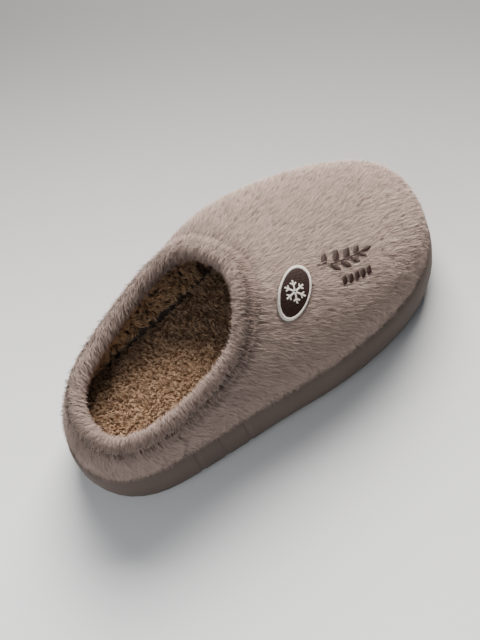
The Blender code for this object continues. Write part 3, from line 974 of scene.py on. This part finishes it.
def footbed_pile():
    """Short curled tufts over the insole, as far in as the opening shows them."""
    rng = np.random.default_rng(71)
    spacing = FOOTBED_SPACING * SPARSER
    low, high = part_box("insole")
    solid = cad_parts["insole"].data
    corners = [vertex.co for vertex in solid.vertices]
    surface = BVHTree.FromPolygons(corners, [face.vertices[:] for face in solid.polygons])
    roots, normals = [], []
    for x in np.arange(low.x, high.x, spacing):
        for y in np.arange(low.y, FOOTBED_END, spacing):
            jitter = rng.uniform(-0.5, 0.5, 2) * spacing
            start = Vector((x + jitter[0], y + jitter[1], high.z + 0.01))
            hit, normal, _, _ = surface.ray_cast(start, Vector((0, 0, -1)))
            if hit is not None:
                roots.append(hit)
                normals.append(normal)
    flat = smooth_step(0.55, 0.99, np.array(normals)[:, 2])
    normal = unit(np.array(normals) + UP)
    toe = unit(TOEWARD - normal * dot(TOEWARD[None], normal))
    across = unit(np.cross(toe, normal))
    root = np.array(roots) - normal * FOOTBED_PILE * 0.8
    tall = FOOTBED_PILE * (1.15 - 0.15 * flat)
    # Painted shade: the footbed's colour darkens into the toe
    shade = painted_toe_shade(root[:, 1], -0.006)
    ways = normal, -toe, across
    tufts("footbed_pile", rng, root, ways, tall, 5, FOOTBED, width=0.00042, spread=0.00055, shade=shade)


def tufts(name, rng, root, ways, height, strands, look, width, spread, shade):
    """Tufts of a few curled strands that lean together, each tuft its own way."""
    normal, lie, across = ways
    count = len(root)
    t = np.linspace(0, 1, 3)
    wind = ripple(root, 0.014, 21) * 1.1
    turn = (wind + rng.normal(0, 0.9, count))[:, None] + rng.normal(0, 0.35, (count, strands))
    height = np.broadcast_to(height, count)[:, None, None]
    tall = height * rng.uniform(0.75, 1.15, (count, 1, 1)) * rng.uniform(0.85, 1.1, (count, strands, 1))
    start = rng.normal(0, spread, (2, count, strands, 1))
    lean = tall * 0.95 * t**1.3
    along = start[0] * (1 - 0.5 * t) + lean * np.cos(turn)[..., None]
    aside = start[1] * (1 - 0.5 * t) + lean * np.sin(turn)[..., None]
    rise = tall * np.sin(t * 1.9) / math.sin(1.57)
    expand = (slice(None), None, None, slice(None))
    paths = root[expand] + lie[expand] * along[..., None] + across[expand] * aside[..., None]
    paths = paths + normal[expand] * rise[..., None]
    facing = np.broadcast_to(normal[expand], paths.shape)
    # shade is the painted shade into the toe, taken off each tuft's tone
    tone = 0.76 - shade + 0.14 * ripple(root, 0.006, 22) + rng.normal(0, 0.11, count)
    strips(name, rng, paths, facing, tone, width, look, roll=0.9)


# Stage


def soft_light(name, place, aim, size, power, color=(1.0, 1.0, 1.0)):
    data = bpy.data.lights.new(name, "AREA")
    data.shape, data.size, data.energy, data.color = "SQUARE", size, power, color
    lamp = bpy.data.objects.new(name, data)
    bpy.context.scene.collection.objects.link(lamp)
    lamp.location = place
    lamp.rotation_euler = (Vector(aim) - Vector(place)).to_track_quat("-Z", "Y").to_euler()


def make_stage():
    """Pale floor with painted shade that darkens it far off, a warm light over the toe's inner side, and
    a dim cool room.
    """
    bpy.ops.object.select_all(action="DESELECT")
    bpy.ops.mesh.primitive_plane_add(size=6.0, location=(0, 0, -0.0002))
    floor = bpy.context.object
    floor.name = "floor"
    paper = Finish("floor", paint(190, 190, 190), 0.85)
    x, y, _ = paper.parts(paper.place())
    # Painted shade: the floor's colour darkens away from the camera, for light falling off; its faint
    # blue offsets the warm key
    shade = (x * 0.68 - y * 0.73).fade(-0.34, 0.30)
    paper.use("Base Color", paper.blend(shade, paint(92, 93, 95), paint(252, 253, 255)))
    floor.data.materials.append(paper.material)
    warm = (1.0, 0.955, 0.90)
    soft_light("key", (-0.44, 0.47, 0.66), (0, 0.03, 0.05), size=0.66, power=31, color=warm)
    soft_light("floor light", (0.25, -0.75, 0.6), (0.2, -0.5, 0.0), size=0.6, power=3.5)
    world = bpy.data.worlds.new("room")
    bpy.context.scene.world = world
    world.use_nodes = True
    room = world.node_tree.nodes["Background"]
    room.inputs["Color"].default_value = (0.84, 0.92, 1.0, 1.0)
    room.inputs["Strength"].default_value = 0.16


def make_camera():
    """The photo's view of the shoe, rolled so that the shoe lies across the picture as it does there."""
    data = bpy.data.cameras.new("camera")
    data.lens, data.sensor_width = 55.86, 36
    camera = bpy.data.objects.new("camera", data)
    bpy.context.scene.collection.objects.link(camera)
    place, aim = Vector((0.2801, -0.1414, 0.5291)), Vector((0.0052, -0.0100, 0.0500))
    camera.rotation_mode = "QUATERNION"
    straight = (aim - place).to_track_quat("-Z", "Y")
    roll = math.radians(-18.4)
    camera.rotation_quaternion = straight @ Quaternion((0, 0, 1), roll)
    camera.location = place
    bpy.context.scene.camera = camera


FUR = pile_finish("fur", FUR_HAIR, DARK_LOCK, sheen=0.12)
LINING = pile_finish("lining", LINING_HAIR, DARK_LINING, sheen=0.1)
FOOTBED = pile_finish("footbed", FOOTBED_HAIR, DARK_FOOTBED, sheen=0.1)
FUR_CLOTH = cloth_finish("fur_backing", paint(104, 91, 86), paint(86, 75, 71))
PLUSH_CLOTH = cloth_finish("plush_backing", paint(132, 101, 75), paint(104, 78, 56))
DARK_THREAD = thread_finish("dark_thread", THREAD_DARK, THREAD_DARKER)
PALE_THREAD = thread_finish("pale_thread", THREAD_PALE, THREAD_SHADE)

badge_place = SewnPlace(BADGE_PLACE, BADGE_TURN)
sprig_place = SewnPlace(SPRIG_PLACE, SPRIG_TURN)

sole_skin = shrunk_skin("sole", "sole_skin", 0.0, foam_rubber(), subdivide=0)
sole_skin.data.set_sharp_from_angle(angle=math.radians(40))
settle(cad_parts["badge"], DARK_THREAD)
shrunk_skin("upper", "upper_skin", 0.0027, FUR_CLOTH)
collar_skin = shrunk_skin("collar", "collar_skin", 0.0015, FUR_CLOTH)
insole_skin = shrunk_skin("insole", "insole_skin", footbed_depth, PLUSH_CLOTH)

for name, seed, first, last in (
    ("heel_fur", 1, -3.6, 3.6),
    ("outer_vamp_fur", 2, 3.6, 7.2),
    ("toe_fur", 3, 7.2, 9.6),
    ("inner_vamp_fur", 4, 9.6, 12.4),
):
    upper_fur(name, seed, first, last, badge_place, sprig_place)
collar_fur()
seam_fur()
lining_pile()
footbed_pile()
badge_work(badge_place)
sprig_work(sprig_place)
make_stage()
make_camera()
